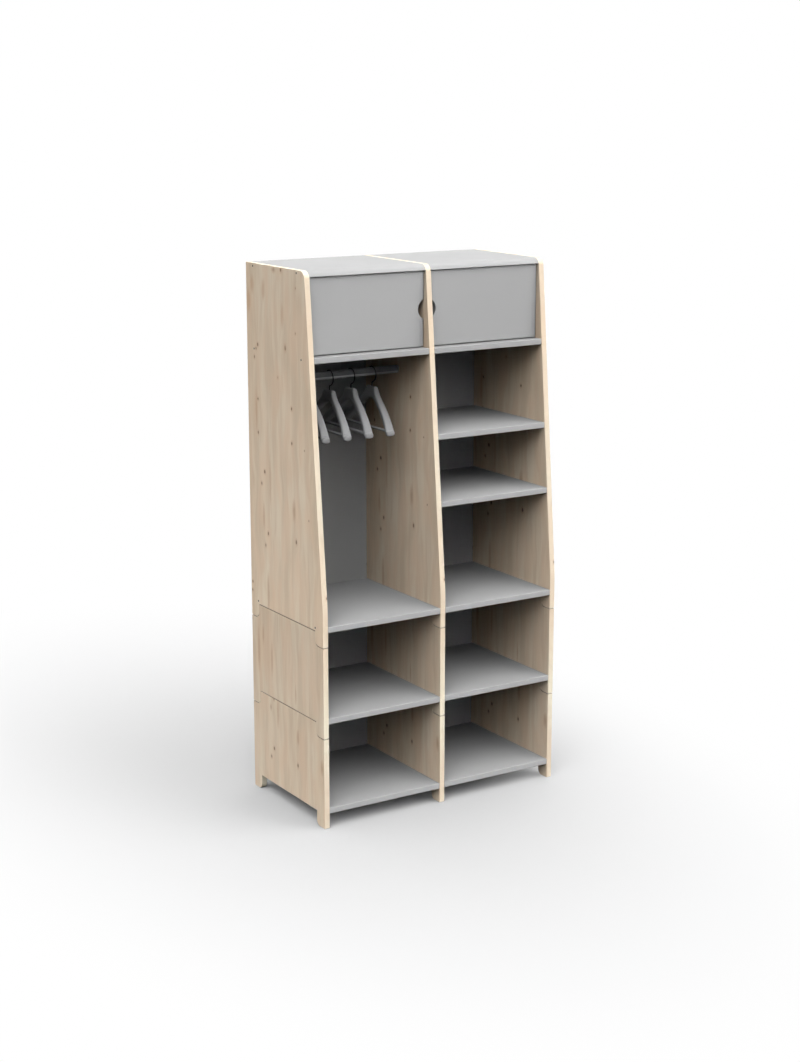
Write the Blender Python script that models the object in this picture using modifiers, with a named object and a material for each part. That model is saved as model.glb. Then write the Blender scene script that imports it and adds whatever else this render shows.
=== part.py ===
"""Children's wardrobe: two bays on three stacked side sections, with shelves, a hanging rail and two doors.

Metres, +Z up. The front faces -Y, and the origin is on the floor under the middle of the wardrobe.
"""

import math

import bmesh
import bpy
from mathutils import Matrix, Vector

# Boards and overall plan
BOARD = 0.020
BAY_WIDTH = 0.450
DEPTH = 0.506
BACK_BOARD = 0.010
BACK_INSET = 0.002
EDGE_EASE = 0.0012

# Stacked side sections
MODULE_HEIGHT = 0.321
FOOT_HEIGHT = 0.052
FOOT_WIDTH = 0.053
FOOT_RADIUS = 0.020
JOINT_LINE = 0.003
LINE_DEPTH = 0.004
STRAIGHT_FRONT = 0.122
LEAN_ANGLE = math.radians(5.16)
BEND_RADIUS = 0.600
CORNER_RADIUS = 0.030

# Clear heights of the compartments above the third shelf
THIRD_CLEAR = 0.350
FOURTH_CLEAR = 0.212
FIFTH_CLEAR = 0.274
CUPBOARD_CLEAR = 0.262

# Doors
DOOR_BOARD = 0.019
DOOR_GAP = 0.0035
DOOR_SET_BACK = 0.009
FINGER_RADIUS = 0.036
PIVOT_FROM_EDGE = 0.011
PIVOT_FROM_FACE = 0.006
PIN_RADIUS = 0.003
PIN_DEPTH = 0.012
CATCH_WIDTH = 0.046
CATCH_HEIGHT = 0.014
CATCH_DEPTH = 0.020
CATCH_FROM_EDGE = 0.020
STRIKE_THICKNESS = 0.0015

# Hanging rail
RAIL_HEIGHT = 0.028
RAIL_WIDTH = 0.015
RAIL_WALL = 0.0015
RAIL_DROP = 0.0745
PLUG_FLANGE = 0.002
PLUG_LENGTH = 0.018

# Hangers
HANGERS = 4
HANGER_PITCH = 0.085
HANGER_SHIFT = -0.0065
HANGER_HALF_WIDTH = 0.157
NECK_HALF_LENGTH = 0.028
NECK_HEIGHT = 0.040
NECK_STEP = 0.018
NECK_EASE = 0.007
SHOULDER_SLOPE = math.radians(38.7)
TIP_DROOP = 0.010
TIP_ROUND = 0.006
TIP_SHRINK = 0.72
ARCH_SLOPE = math.radians(41.0)
ARCH_ROUND = 0.030
NECK_HALF_THICKNESS = 0.0092
TIP_HALF_THICKNESS = 0.0165
CONTOUR = 0.023
SECTION_SQUARENESS = 0.6
BAR_RADIUS = 0.0045
BAR_AT = 0.93
WIRE_RADIUS = 0.0019
HOOK_RADIUS = 0.026
HOOK_BEND = 0.007
STEM_ABOVE = 0.010
STEM_INSIDE = 0.022
HOOK_END = math.radians(-20)

# Screws through the outer side panels
SCREW_FROM_FRONT = 0.052
SCREW_FROM_REAR = 0.050
SCREW_HEAD_RADIUS = 0.0035
SCREW_HEAD_HEIGHT = 0.003
SCREW_RADIUS = 0.002
SCREW_LENGTH = 0.045

# Working clearance between pieces that touch, and facets on round pieces
CLEAR = 0.0003
ROUND_STEPS = 12
FINE_STEPS = 8
ARC_STEPS = 6
CORNER_STEPS = 8
BEND_STEPS = 4
HOLE_STEPS = 32
HOOK_STEPS = 18
SMOOTH_ANGLE = math.radians(35)

# Places worked out from the sizes above
FRONT = -DEPTH / 2
REAR = DEPTH / 2
BACK_FACE = REAR - BACK_INSET - BACK_BOARD
UPPER_FOOT = 2 * MODULE_HEIGHT
LEAN_START = UPPER_FOOT + STRAIGHT_FRONT
BASE_SHELF = FOOT_HEIGHT
SECOND_SHELF = BASE_SHELF + MODULE_HEIGHT
THIRD_SHELF = SECOND_SHELF + MODULE_HEIGHT
LOW_SHELF = THIRD_SHELF + BOARD + THIRD_CLEAR
HIGH_SHELF = LOW_SHELF + BOARD + FOURTH_CLEAR
CUPBOARD_SHELF = HIGH_SHELF + BOARD + FIFTH_CLEAR
TOP_PANEL = CUPBOARD_SHELF + BOARD + CUPBOARD_CLEAR
HEIGHT = TOP_PANEL + BOARD
PANEL_PITCH = BAY_WIDTH + BOARD
SIDE_PLACES = {"left": -PANEL_PITCH, "middle": 0.0, "right": PANEL_PITCH}
BAY_PLACES = {"left": -PANEL_PITCH / 2, "right": PANEL_PITCH / 2}
OUTWARD = {"left": -1, "right": 1}


def front_y(z):
    """Where the front edge of a side panel stands at a height."""
    return FRONT + max(0.0, z - LEAN_START) * math.tan(LEAN_ANGLE)


DOOR_FRONT = front_y(TOP_PANEL) + DOOR_SET_BACK
DOOR_BOTTOM = CUPBOARD_SHELF + BOARD + DOOR_GAP
DOOR_TOP = TOP_PANEL - DOOR_GAP
DOOR_WIDTH = BAY_WIDTH - 2 * DOOR_GAP
RAIL_Z = CUPBOARD_SHELF - RAIL_DROP
RAIL_Y = (front_y(RAIL_Z) + BACK_FACE) / 2
HOOK_CENTRE = RAIL_Z + RAIL_HEIGHT / 2 + CLEAR + WIRE_RADIUS - HOOK_RADIUS
STEM_TOP = HOOK_CENTRE - math.sqrt(HOOK_RADIUS**2 + 2 * HOOK_RADIUS * HOOK_BEND)
NECK_TOP = STEM_TOP - STEM_ABOVE


# Scene, collections and finishes
for old in list(bpy.data.objects):
    bpy.data.objects.remove(old, do_unlink=True)

PARTS = bpy.data.collections.new("childrens_wardrobe")
CUTTERS = bpy.data.collections.new("wardrobe_cutters")
for group in (PARTS, CUTTERS):
    bpy.context.scene.collection.children.link(group)


def finish(name, colour, roughness, metallic=0.0):
    """A plain surface finish."""
    made = bpy.data.materials.new(name)
    made.use_nodes = True
    shader = made.node_tree.nodes["Principled BSDF"]
    shader.inputs["Base Color"].default_value = (*colour, 1.0)
    shader.inputs["Roughness"].default_value = roughness
    shader.inputs["Metallic"].default_value = metallic
    return made


SPRUCE = finish("clear_lacquered_spruce", (0.66, 0.51, 0.36), 0.50)
GREY = finish("grey_lacquered_board", (0.42, 0.42, 0.42), 0.45)
BACK_GREY = finish("grey_back_board", (0.36, 0.36, 0.37), 0.55)
STEEL = finish("rail_steel", (0.38, 0.38, 0.39), 0.38)
PIN_STEEL = finish("pivot_steel", (0.45, 0.45, 0.46), 0.35, 1.0)
WIRE_BLACK = finish("black_hook_wire", (0.02, 0.02, 0.02), 0.40, 0.6)
HANGER_GREY = finish("grey_hanger", (0.47, 0.47, 0.48), 0.50)
SCREW_BLACK = finish("dark_screw", (0.07, 0.06, 0.05), 0.45, 0.8)
PLUG_GREY = finish("rail_plug_plastic", (0.30, 0.30, 0.31), 0.50)
CATCH_WHITE = finish("catch_plastic", (0.70, 0.70, 0.68), 0.45)


# Modelling helpers
def add(name, mesh, material=None, collection=PARTS):
    """Put a mesh in the scene as a part, or as a cutter when it has no finish."""
    made = bpy.data.objects.new(name, mesh)
    collection.objects.link(made)
    if material:
        mesh.materials.clear()
        mesh.materials.append(material)
    else:
        made.hide_render = True
        made.display_type = "WIRE"
    return made


def solid_of(source, name):
    """The evaluated shape of an object as a welded mesh, with the source removed."""
    bpy.context.view_layer.update()
    shape = source.evaluated_get(bpy.context.evaluated_depsgraph_get())
    mesh = bpy.data.meshes.new_from_object(shape)
    mesh.name = name
    work = bmesh.new()
    work.from_mesh(mesh)
    bmesh.ops.remove_doubles(work, verts=work.verts, dist=1e-6)
    bmesh.ops.recalc_face_normals(work, faces=work.faces)
    work.to_mesh(mesh)
    work.free()
    bpy.data.objects.remove(source, do_unlink=True)
    return mesh


def plate_mesh(name, outlines, thickness):
    """A plate from closed outlines in the curve's own plane; an inner outline leaves a hole."""
    curve = bpy.data.curves.new(name, "CURVE")
    curve.dimensions = "2D"
    curve.fill_mode = "BOTH"
    curve.extrude = thickness / 2
    for points in outlines:
        spline = curve.splines.new("POLY")
        spline.points.add(len(points) - 1)
        for spot, (u, v) in zip(spline.points, points):
            spot.co = (u, v, 0.0, 1.0)
        spline.use_cyclic_u = True
    holder = bpy.data.objects.new(name, curve)
    bpy.context.scene.collection.objects.link(holder)
    return solid_of(holder, name)


# Outlines are drawn as (y, z), so this turn stands their plane across X.
ACROSS_X = (math.pi / 2, 0.0, math.pi / 2)


def across(name, outlines, thickness, x, material=None, collection=PARTS):
    """A plate whose (y, z) outline is extruded along X about the place x."""
    made = add(name, plate_mesh(name, outlines, thickness), material, collection)
    made.rotation_euler = ACROSS_X
    made.location.x = x
    return made


def board(name, low, high, material, collection=PARTS):
    """A rectangular board between two corners."""
    mesh = bpy.data.meshes.new(name)
    size = Vector(high) - Vector(low)
    work = bmesh.new()
    bmesh.ops.create_cube(work, size=1.0, matrix=Matrix.Diagonal((*size, 1.0)))
    work.to_mesh(mesh)
    work.free()
    made = add(name, mesh, material, collection)
    made.location = (Vector(low) + Vector(high)) / 2
    return made


def turned(name, profile, material=None, collection=PARTS, steps=ROUND_STEPS):
    """A turned piece about its own Z axis, from (radius, height) points that run top to bottom."""
    mesh = bpy.data.meshes.new(name)
    mesh.from_pydata([(r, 0.0, z) for r, z in profile], [(i, i + 1) for i in range(len(profile) - 1)], [])
    holder = bpy.data.objects.new(name, mesh)
    bpy.context.scene.collection.objects.link(holder)
    screw = holder.modifiers.new("turn", "SCREW")
    screw.steps = steps
    screw.render_steps = steps
    screw.use_merge_vertices = True
    screw.merge_threshold = 1e-5
    return add(name, solid_of(holder, name), material, collection)


def rod(name, radius, top, bottom, steps):
    """A plain round rod for cutting or joining, between two heights on its own Z axis."""
    profile = [(0.0, top), (radius, top), (radius, bottom), (0.0, bottom)]
    return turned(name, profile, collection=CUTTERS, steps=steps)


def ease_edges(made):
    """Take the sharpness off the square edges of a board."""
    bevel = made.modifiers.new("eased_edges", "BEVEL")
    bevel.width = EDGE_EASE
    bevel.segments = 1
    bevel.limit_method = "ANGLE"
    bevel.angle_limit = SMOOTH_ANGLE
    return made


def cut(made, cutter, operation="DIFFERENCE"):
    """Take a cutter's shape out of a piece."""
    boolean = made.modifiers.new(cutter.name, "BOOLEAN")
    boolean.operation = operation
    boolean.object = cutter


def join(made, shape):
    """Make a helper's shape one body with a piece."""
    cut(made, shape, "UNION")


def carry(holder, *pieces):
    """Parent pieces to an empty on their joint's axis, where they stand."""
    bpy.context.view_layer.update()
    for piece in pieces:
        piece.parent = holder
        piece.matrix_parent_inverse = holder.matrix_world.inverted()


def axis_empty(name, place):
    """An empty on a joint's axis."""
    made = bpy.data.objects.new(name, None)
    made.empty_display_size = 0.05
    made.location = place
    PARTS.objects.link(made)
    return made


def arc(centre, radius, start, end, steps=ARC_STEPS):
    """Points along an arc, with its angles in radians."""
    turns = [start + (end - start) * i / steps for i in range(steps + 1)]
    return [(centre[0] + radius * math.cos(t), centre[1] + radius * math.sin(t)) for t in turns]


def stadium(height, width, steps=ARC_STEPS):
    """An upright outline with half-round ends, about its own middle."""
    radius = width / 2
    straight = height / 2 - radius
    upper = arc((0.0, straight), radius, 0.0, math.pi, steps)
    return upper + arc((0.0, -straight), radius, math.pi, 2 * math.pi, steps)


# Side sections
def front_edge(low):
    """The front edge of the upper section from a height up to the top corner."""
    half_bend = BEND_RADIUS * math.tan(LEAN_ANGLE / 2)
    bend_centre = (FRONT + BEND_RADIUS, LEAN_START - half_bend)
    corner_z = HEIGHT - CORNER_RADIUS
    corner_centre = (front_y(corner_z) + CORNER_RADIUS / math.cos(LEAN_ANGLE), corner_z)
    edge = [(FRONT, 0.0)]
    edge += arc(bend_centre, BEND_RADIUS, math.pi, math.pi - LEAN_ANGLE, BEND_STEPS)
    edge += arc(corner_centre, CORNER_RADIUS, math.pi - LEAN_ANGLE, math.pi / 2, CORNER_STEPS)
    for (y0, z0), (y1, z1) in zip(edge, edge[1:]):
        if z0 <= low < z1:
            start = (y0 + (y1 - y0) * (low - z0) / (z1 - z0), low)
    return [start] + [point for point in edge if point[1] > low + CLEAR]


def feet(floor):
    """The lower edge of a section, from its rear foot to its front foot."""
    rear_inner = REAR - FOOT_WIDTH
    front_inner = FRONT + FOOT_WIDTH
    quarter = math.pi / 2
    edge = [(REAR, floor)]
    edge += arc((rear_inner + FOOT_RADIUS, floor + FOOT_RADIUS), FOOT_RADIUS, 3 * quarter, 2 * quarter)
    edge += [(rear_inner, floor + FOOT_HEIGHT), (front_inner, floor + FOOT_HEIGHT)]
    edge += arc((front_inner - FOOT_RADIUS, floor + FOOT_RADIUS), FOOT_RADIUS, 0.0, -quarter)
    return edge + [(FRONT, floor)]


def seats(floor):
    """The upper edge of a section, from front to rear, with a seat for each foot of the next one."""
    quarter = math.pi / 2
    radius = FOOT_RADIUS + CLEAR
    front_wall = FRONT + FOOT_WIDTH + CLEAR
    rear_wall = REAR - FOOT_WIDTH - CLEAR
    crest = floor + FOOT_HEIGHT - JOINT_LINE
    edge = [(FRONT, floor - CLEAR)]
    edge += arc((front_wall - radius, floor - CLEAR + radius), radius, -quarter, 0.0)
    edge += [(front_wall, crest), (rear_wall, crest)]
    edge += arc((rear_wall + radius, floor - CLEAR + radius), radius, 2 * quarter, 3 * quarter)
    return edge + [(REAR, floor - CLEAR)]


def foot_rim(name, x, floor, end):
    """A cutter for the thin line round the bottom of a foot, at the front for -1 and the rear for 1."""
    quarter = math.pi / 2
    past = end * LINE_DEPTH
    outer = end * DEPTH / 2
    inner = outer - end * FOOT_WIDTH
    below = floor - LINE_DEPTH
    centre = (inner + end * FOOT_RADIUS, floor + JOINT_LINE + FOOT_RADIUS)
    start = (1 + end) * quarter
    outline = [(outer + past, below), (inner - past, below), (inner - past, centre[1])]
    outline += arc(centre, FOOT_RADIUS, start, start + end * quarter) + [(outer + past, floor + JOINT_LINE)]
    rim = across(name, [outline], 2 * BOARD, x, collection=CUTTERS)

    # The middle of the foot is kept, and stands in its seat.
    half = BOARD / 2 - LINE_DEPTH
    near, far = sorted((outer - past, inner - 2 * past))
    low, high = (x - half, near, below - LINE_DEPTH), (x + half, far, floor + FOOT_HEIGHT)
    cut(rim, board(f"{name}_core", low, high, None, CUTTERS))
    return rim


sides = {}
for side, x in SIDE_PLACES.items():
    stacked = {
        "base": seats(MODULE_HEIGHT) + feet(0.0),
        "second": seats(UPPER_FOOT) + feet(MODULE_HEIGHT),
        "upper": front_edge(UPPER_FOOT)[1:] + [(REAR, HEIGHT)] + feet(UPPER_FOOT),
    }
    for level, outline in stacked.items():
        name = f"side_{side}_{level}"
        sides[side, level] = ease_edges(across(name, [outline], BOARD, x, SPRUCE))
    for level, floor in {"second": MODULE_HEIGHT, "upper": UPPER_FOOT}.items():
        for end in (-1, 1):
            cut(sides[side, level], foot_rim(f"rim_{side}_{level}_{end}", x, floor, end))


# Shelves
def shelf(bay, name, bottom):
    """A shelf between two side panels, with its front edge on the line of theirs."""
    reach = BAY_WIDTH / 2 - CLEAR
    low = (BAY_PLACES[bay] - reach, front_y(bottom + BOARD), bottom)
    high = (BAY_PLACES[bay] + reach, BACK_FACE - CLEAR, bottom + BOARD)
    return ease_edges(board(f"shelf_{bay}_{name}", low, high, GREY))


FIXED_SHELVES = {"base": BASE_SHELF, "second": SECOND_SHELF, "third": THIRD_SHELF, "cupboard": CUPBOARD_SHELF}
shelves = {}
for bay in BAY_PLACES:
    for name, bottom in FIXED_SHELVES.items():
        shelves[bay, name] = shelf(bay, name, bottom)
for name, bottom in {"low": LOW_SHELF, "high": HIGH_SHELF}.items():
    shelves["right", name] = shelf("right", name, bottom)


# Top panels
tops = {}
top_outline = front_edge(TOP_PANEL) + [(REAR - BACK_INSET, HEIGHT), (REAR - BACK_INSET, TOP_PANEL)]
for bay, x in BAY_PLACES.items():
    tops[bay] = across(f"top_{bay}", [top_outline], BAY_WIDTH - 2 * CLEAR, x, GREY)


# Back panels, one behind each bay of each section
BACK_SPANS = {
    "base": (BASE_SHELF, SECOND_SHELF - JOINT_LINE),
    "second": (SECOND_SHELF, THIRD_SHELF - JOINT_LINE),
    "upper": (THIRD_SHELF, TOP_PANEL - CLEAR),
}
for bay, x in BAY_PLACES.items():
    for level, (bottom, crest) in BACK_SPANS.items():
        reach = BAY_WIDTH / 2 - CLEAR
        low = (x - reach, BACK_FACE, bottom)
        board(f"back_{bay}_{level}", low, (x + reach, REAR - BACK_INSET, crest), BACK_GREY)


# Doors on pivot pins, with one round finger hole shared across the middle panel
def pin_profile(grow=0.0):
    """Half of a pivot pin's section, lying on both sides of the door gap."""
    reach = PIN_DEPTH + DOOR_GAP / 2 + grow
    radius = PIN_RADIUS + grow
    ease = PIN_RADIUS / 6
    points = [(0.0, reach), (radius - ease, reach), (radius, reach - ease)]
    return points + [(r, -z) for r, z in reversed(points)]


finger_reach = DOOR_BOARD + 2 * DOOR_SET_BACK
finger_cutter = rod("finger_hole_cutter", FINGER_RADIUS, finger_reach, -finger_reach, HOLE_STEPS)
finger_cutter.rotation_euler.x = math.pi / 2
finger_cutter.location = (0.0, DOOR_FRONT + DOOR_BOARD / 2, (DOOR_BOTTOM + DOOR_TOP) / 2)

for bay, x in BAY_PLACES.items():
    out = OUTWARD[bay]
    half = DOOR_WIDTH / 2
    door = board(
        f"door_{bay}",
        (x - half, DOOR_FRONT, DOOR_BOTTOM),
        (x + half, DOOR_FRONT + DOOR_BOARD, DOOR_TOP),
        GREY,
    )
    ease_edges(door)
    cut(door, finger_cutter)
    pivot = Vector((x + out * (half - PIVOT_FROM_EDGE), DOOR_FRONT + PIVOT_FROM_FACE, 0.0))
    hung = [door]
    for end, z, holder in (
        ("lower", DOOR_BOTTOM - DOOR_GAP / 2, shelves[bay, "cupboard"]),
        ("upper", DOOR_TOP + DOOR_GAP / 2, tops[bay]),
    ):
        place = pivot + Vector((0.0, 0.0, z))
        pin = turned(f"door_{bay}_{end}_pin", pin_profile(), PIN_STEEL)
        bore = turned(f"door_{bay}_{end}_pin_bore", pin_profile(CLEAR), collection=CUTTERS)
        pin.location = place
        bore.location = place
        cut(door, bore)
        cut(holder, bore)
        hung.append(pin)

    # A magnet under the top panel holds a steel plate on the back of the door.
    catch_x = x - out * (half - CATCH_FROM_EDGE - CATCH_WIDTH / 2)
    plate_y = DOOR_FRONT + DOOR_BOARD + CLEAR
    catch_y = plate_y + STRIKE_THICKNESS + CLEAR
    catch_top = TOP_PANEL - CLEAR
    strike = board(
        f"door_{bay}_strike_plate",
        (catch_x - CATCH_WIDTH / 2, plate_y, catch_top - CATCH_HEIGHT),
        (catch_x + CATCH_WIDTH / 2, plate_y + STRIKE_THICKNESS, DOOR_TOP),
        PIN_STEEL,
    )
    hung.append(strike)
    catch = board(
        f"magnetic_catch_{bay}",
        (catch_x - CATCH_WIDTH / 2, catch_y, catch_top - CATCH_HEIGHT),
        (catch_x + CATCH_WIDTH / 2, catch_y + CATCH_DEPTH, catch_top),
        CATCH_WHITE,
    )
    ease_edges(catch)
    carry(axis_empty(f"door_{bay}_axis", pivot + Vector((0.0, 0.0, DOOR_BOTTOM))), *hung)


# Hanging rail: an oval tube over a plug screwed to the panel at each end
def moved(points, y, z):
    """An outline moved to a place in its own plane."""
    return [(u + y, v + z) for u, v in points]


bay_x = BAY_PLACES["left"]
rail_half = BAY_WIDTH / 2 - 2 * CLEAR - PLUG_FLANGE
rail_outer = stadium(RAIL_HEIGHT, RAIL_WIDTH)
rail_inner = stadium(RAIL_HEIGHT - 2 * RAIL_WALL, RAIL_WIDTH - 2 * RAIL_WALL)
rail_outlines = [moved(points, RAIL_Y, RAIL_Z) for points in (rail_outer, rail_inner)]
across("hanging_rail", rail_outlines, 2 * rail_half - 2 * CLEAR, bay_x, STEEL)

plug_room = 2 * (RAIL_WALL + CLEAR)
plug_core = stadium(RAIL_HEIGHT - plug_room, RAIL_WIDTH - plug_room)
for end, out in OUTWARD.items():
    wall_x = bay_x + out * (BAY_WIDTH / 2 - CLEAR)
    flange = across(
        f"rail_plug_{end}",
        [moved(rail_outer, RAIL_Y, RAIL_Z)],
        PLUG_FLANGE,
        wall_x - out * PLUG_FLANGE / 2,
        PLUG_GREY,
    )
    core = across(
        f"rail_plug_{end}_core",
        [moved(plug_core, RAIL_Y, RAIL_Z)],
        PLUG_LENGTH,
        wall_x - out * (PLUG_FLANGE / 2 + PLUG_LENGTH / 2),
        collection=CUTTERS,
    )
    join(flange, core)


# Hangers: a broad-shouldered bow with its bar, turning on a black wire hook
def bow_drop(u):
    """How far the bow's upper and lower edges lie below its top; u runs from -1 at the rear tip to 1."""
    reach = abs(u) * HANGER_HALF_WIDTH
    past_neck = max(0.0, reach - NECK_HALF_LENGTH)
    upper = NECK_STEP * (1 - math.exp(-past_neck / NECK_EASE))
    upper += past_neck * math.tan(SHOULDER_SLOPE) + TIP_DROOP * u**8
    lower = NECK_HEIGHT + (math.hypot(reach, ARCH_ROUND) - ARCH_ROUND) * math.tan(ARCH_SLOPE)
    return upper, lower


def squared(value):
    """Pull a circle's coordinate out towards a rounded square's."""
    return math.copysign(abs(value) ** SECTION_SQUARENESS, value)


def bow_ring(u, past_tip=0.0, shrink=1.0):
    """One upright section of the bow, as a rounded rectangle."""
    upper, lower = bow_drop(u)
    thick = NECK_HALF_THICKNESS + (TIP_HALF_THICKNESS - NECK_HALF_THICKNESS) * abs(u)
    high = (lower - upper) / 2
    y = -u * HANGER_HALF_WIDTH - math.copysign(past_tip, u)
    ring = []
    for i in range(ROUND_STEPS):
        turn = 2 * math.pi * (i + 0.5) / ROUND_STEPS
        wide = shrink * thick * squared(math.cos(turn))
        tall = shrink * high * squared(math.sin(turn))
        ring.append((wide - CONTOUR * u * u, y, tall - (upper + lower) / 2))
    return ring


def bow_mesh():
    """The bow lofted through its sections, with the bar joined in and the hook's hole drilled."""
    neck = NECK_HALF_LENGTH / HANGER_HALF_WIDTH
    ease = NECK_EASE / HANGER_HALF_WIDTH
    arm = 1 - neck - 3 * ease
    half = [neck / 2, neck, neck + ease / 2, neck + ease, neck + 2 * ease, neck + 3 * ease]
    half += [neck + 3 * ease + arm * share for share in (0.2, 0.4, 0.6, 0.8, 0.9, 1.0)]
    runs = [-u for u in reversed(half)] + [0.0] + half
    rings = [bow_ring(u) for u in runs]
    rings.insert(0, bow_ring(-1.0, TIP_ROUND, TIP_SHRINK))
    rings.append(bow_ring(1.0, TIP_ROUND, TIP_SHRINK))
    mesh = bpy.data.meshes.new("hanger_bow")
    work = bmesh.new()
    loops = [[work.verts.new(point) for point in ring] for ring in rings]
    for near, far in zip(loops, loops[1:]):
        for i in range(len(near)):
            j = (i + 1) % len(near)
            work.faces.new((near[i], near[j], far[j], far[i]))
    work.faces.new(loops[0])
    work.faces.new(loops[-1])
    bmesh.ops.recalc_face_normals(work, faces=work.faces)
    work.to_mesh(mesh)
    work.free()
    bow = add("hanger_bow", mesh, HANGER_GREY)

    bar_half = BAR_AT * HANGER_HALF_WIDTH
    bar_drop = bow_drop(BAR_AT)[1] - BAR_RADIUS - CLEAR
    bar = rod("hanger_bar", BAR_RADIUS, bar_half, -bar_half, FINE_STEPS)
    bar.rotation_euler.x = math.pi / 2
    bar.location = (-CONTOUR * BAR_AT**2, 0.0, -bar_drop)
    join(bow, bar)

    hole = rod("hook_hole_cutter", WIRE_RADIUS + CLEAR, STEM_ABOVE, -STEM_INSIDE - CLEAR, FINE_STEPS)
    cut(bow, hole)
    made = solid_of(bow, "hanger_bow")
    for helper in (bar, hole):
        bpy.data.objects.remove(helper, do_unlink=True)
    return made


def hook_points():
    """The wire's run in the hanger's plane, as (y, z) from the top of the bow."""
    centre_z = HOOK_CENTRE - NECK_TOP
    rise = STEM_ABOVE
    meet = math.atan2(centre_z - rise, HOOK_BEND)
    points = [(0.0, -STEM_INSIDE), (0.0, 0.0)]
    points += arc((-HOOK_BEND, rise), HOOK_BEND, 0.0, meet, BEND_STEPS)
    return points + arc((0.0, centre_z), HOOK_RADIUS, math.pi + meet, HOOK_END, HOOK_STEPS)[1:]


def hook_wire(name):
    """A bent wire hook as a round curve with closed ends."""
    curve = bpy.data.curves.new(name, "CURVE")
    curve.dimensions = "3D"
    curve.bevel_depth = WIRE_RADIUS
    curve.bevel_resolution = 2
    curve.use_fill_caps = True
    points = hook_points()
    spline = curve.splines.new("POLY")
    spline.points.add(len(points) - 1)
    for spot, (y, z) in zip(spline.points, points):
        spot.co = (0.0, y, z, 1.0)
    curve.materials.append(WIRE_BLACK)
    made = bpy.data.objects.new(name, curve)
    PARTS.objects.link(made)
    return made


shared_bow = bow_mesh()
for number in range(1, HANGERS + 1):
    hanger_x = bay_x + HANGER_SHIFT + (number - (HANGERS + 1) / 2) * HANGER_PITCH
    place = Vector((hanger_x, RAIL_Y, NECK_TOP))
    hook = hook_wire(f"hanger_{number}_hook")
    bow = add(f"hanger_{number}_bow", shared_bow, HANGER_GREY)
    hook.location = place
    bow.location = place
    carry(axis_empty(f"hanger_{number}_axis", place), hook, bow)


# Screws through the outer panels into the ends of the upper shelves and the top
def screw_profile(grow=0.0):
    """Half of a screw's section, with its head at the top."""
    head = SCREW_HEAD_RADIUS + grow
    shank = SCREW_RADIUS + grow
    under = -SCREW_HEAD_HEIGHT - grow
    tip = -SCREW_LENGTH - grow
    return [(0.0, grow), (head, grow), (head, under), (shank, under), (shank, tip), (0.0, tip)]


SCREWED = {"third": THIRD_SHELF, "cupboard": CUPBOARD_SHELF, "top": TOP_PANEL}
for side, out in OUTWARD.items():
    for name, bottom in SCREWED.items():
        middle = bottom + BOARD / 2
        holder = tops[side] if name == "top" else shelves[side, name]
        rows = {"front": front_y(middle) + SCREW_FROM_FRONT, "rear": REAR - SCREW_FROM_REAR}
        for row, y in rows.items():
            screw = turned(f"screw_{side}_{name}_{row}", screw_profile(), SCREW_BLACK)
            bore = turned(f"screw_{side}_{name}_{row}_bore", screw_profile(CLEAR), collection=CUTTERS)
            for piece in (screw, bore):
                piece.rotation_euler.y = out * math.pi / 2
                piece.location = (out * (PANEL_PITCH + BOARD / 2), y, middle)
            cut(sides[side, "upper"], bore)
            cut(holder, bore)


# Round pieces are shaded smooth
bpy.context.view_layer.update()
for part in PARTS.objects:
    if part.type == "MESH":
        part.data.shade_smooth()
        part.data.set_sharp_from_angle(angle=SMOOTH_ANGLE)
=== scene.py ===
"""Looks of a children's wardrobe in pale spruce and grey lacquer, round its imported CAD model."""

import math

import bmesh
import bpy
from mathutils import Matrix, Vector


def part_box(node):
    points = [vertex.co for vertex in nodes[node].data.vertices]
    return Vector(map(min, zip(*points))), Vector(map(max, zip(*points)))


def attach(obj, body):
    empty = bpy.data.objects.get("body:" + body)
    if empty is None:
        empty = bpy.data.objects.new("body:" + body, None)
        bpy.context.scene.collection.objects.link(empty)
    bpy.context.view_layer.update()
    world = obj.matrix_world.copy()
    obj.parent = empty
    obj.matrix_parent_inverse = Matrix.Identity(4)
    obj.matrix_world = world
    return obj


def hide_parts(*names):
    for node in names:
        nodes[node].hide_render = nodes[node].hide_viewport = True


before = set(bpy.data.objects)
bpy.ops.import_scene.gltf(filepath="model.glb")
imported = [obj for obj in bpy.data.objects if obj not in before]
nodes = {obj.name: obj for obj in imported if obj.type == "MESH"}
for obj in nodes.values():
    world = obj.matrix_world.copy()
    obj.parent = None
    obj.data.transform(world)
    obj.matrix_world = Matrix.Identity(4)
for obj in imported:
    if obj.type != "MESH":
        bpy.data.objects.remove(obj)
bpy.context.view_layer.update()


# Side panels
# Each side is three stacked sections of edge-glued spruce staves, planed and sealed with a clear
# matt lacquer. The feet of each section stand in seats cut into the top of the one below.
PANEL_PITCH = 0.470
NO_WRAP = 9.0
JOINTS_FROM = 0.29
JOINTS_TO = 0.72
JOINTS_EASE = 0.01

# Colours of the faces, the planed edges with their painted light, the knots, and the painted shade
# inside the joints
SPRUCE_PALE = (0.893, 0.764, 0.600, 1.0)
SPRUCE_WARM = (0.765, 0.615, 0.452, 1.0)
SPRUCE_BLUSH = (0.870, 0.655, 0.475, 1.0)
SPRUCE_RING = (0.660, 0.450, 0.270, 1.0)
EDGE_PALE_WITH_PAINTED_LIGHT = (0.985, 0.920, 0.740, 1.0)
EDGE_WARM_WITH_PAINTED_LIGHT = (0.955, 0.790, 0.590, 1.0)
KNOT_HALO = (0.540, 0.300, 0.135, 1.0)
KNOT_CORE = (0.150, 0.072, 0.034, 1.0)
JOINT_PAINTED_SHADE = (0.430, 0.315, 0.225, 1.0)

# How strongly the colours are laid over each other
BLUSH_ON_EDGE = 0.35
BLUSH_ON_FACE = 0.5
GRAIN_SHARES = {"Ring": 0.05, "Fleck": 0.22, "Seam": 0.05}
FIBRE_SHARE = 0.08
HALO_SHARE = 0.42
CORE_SHARE = 0.88
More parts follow.
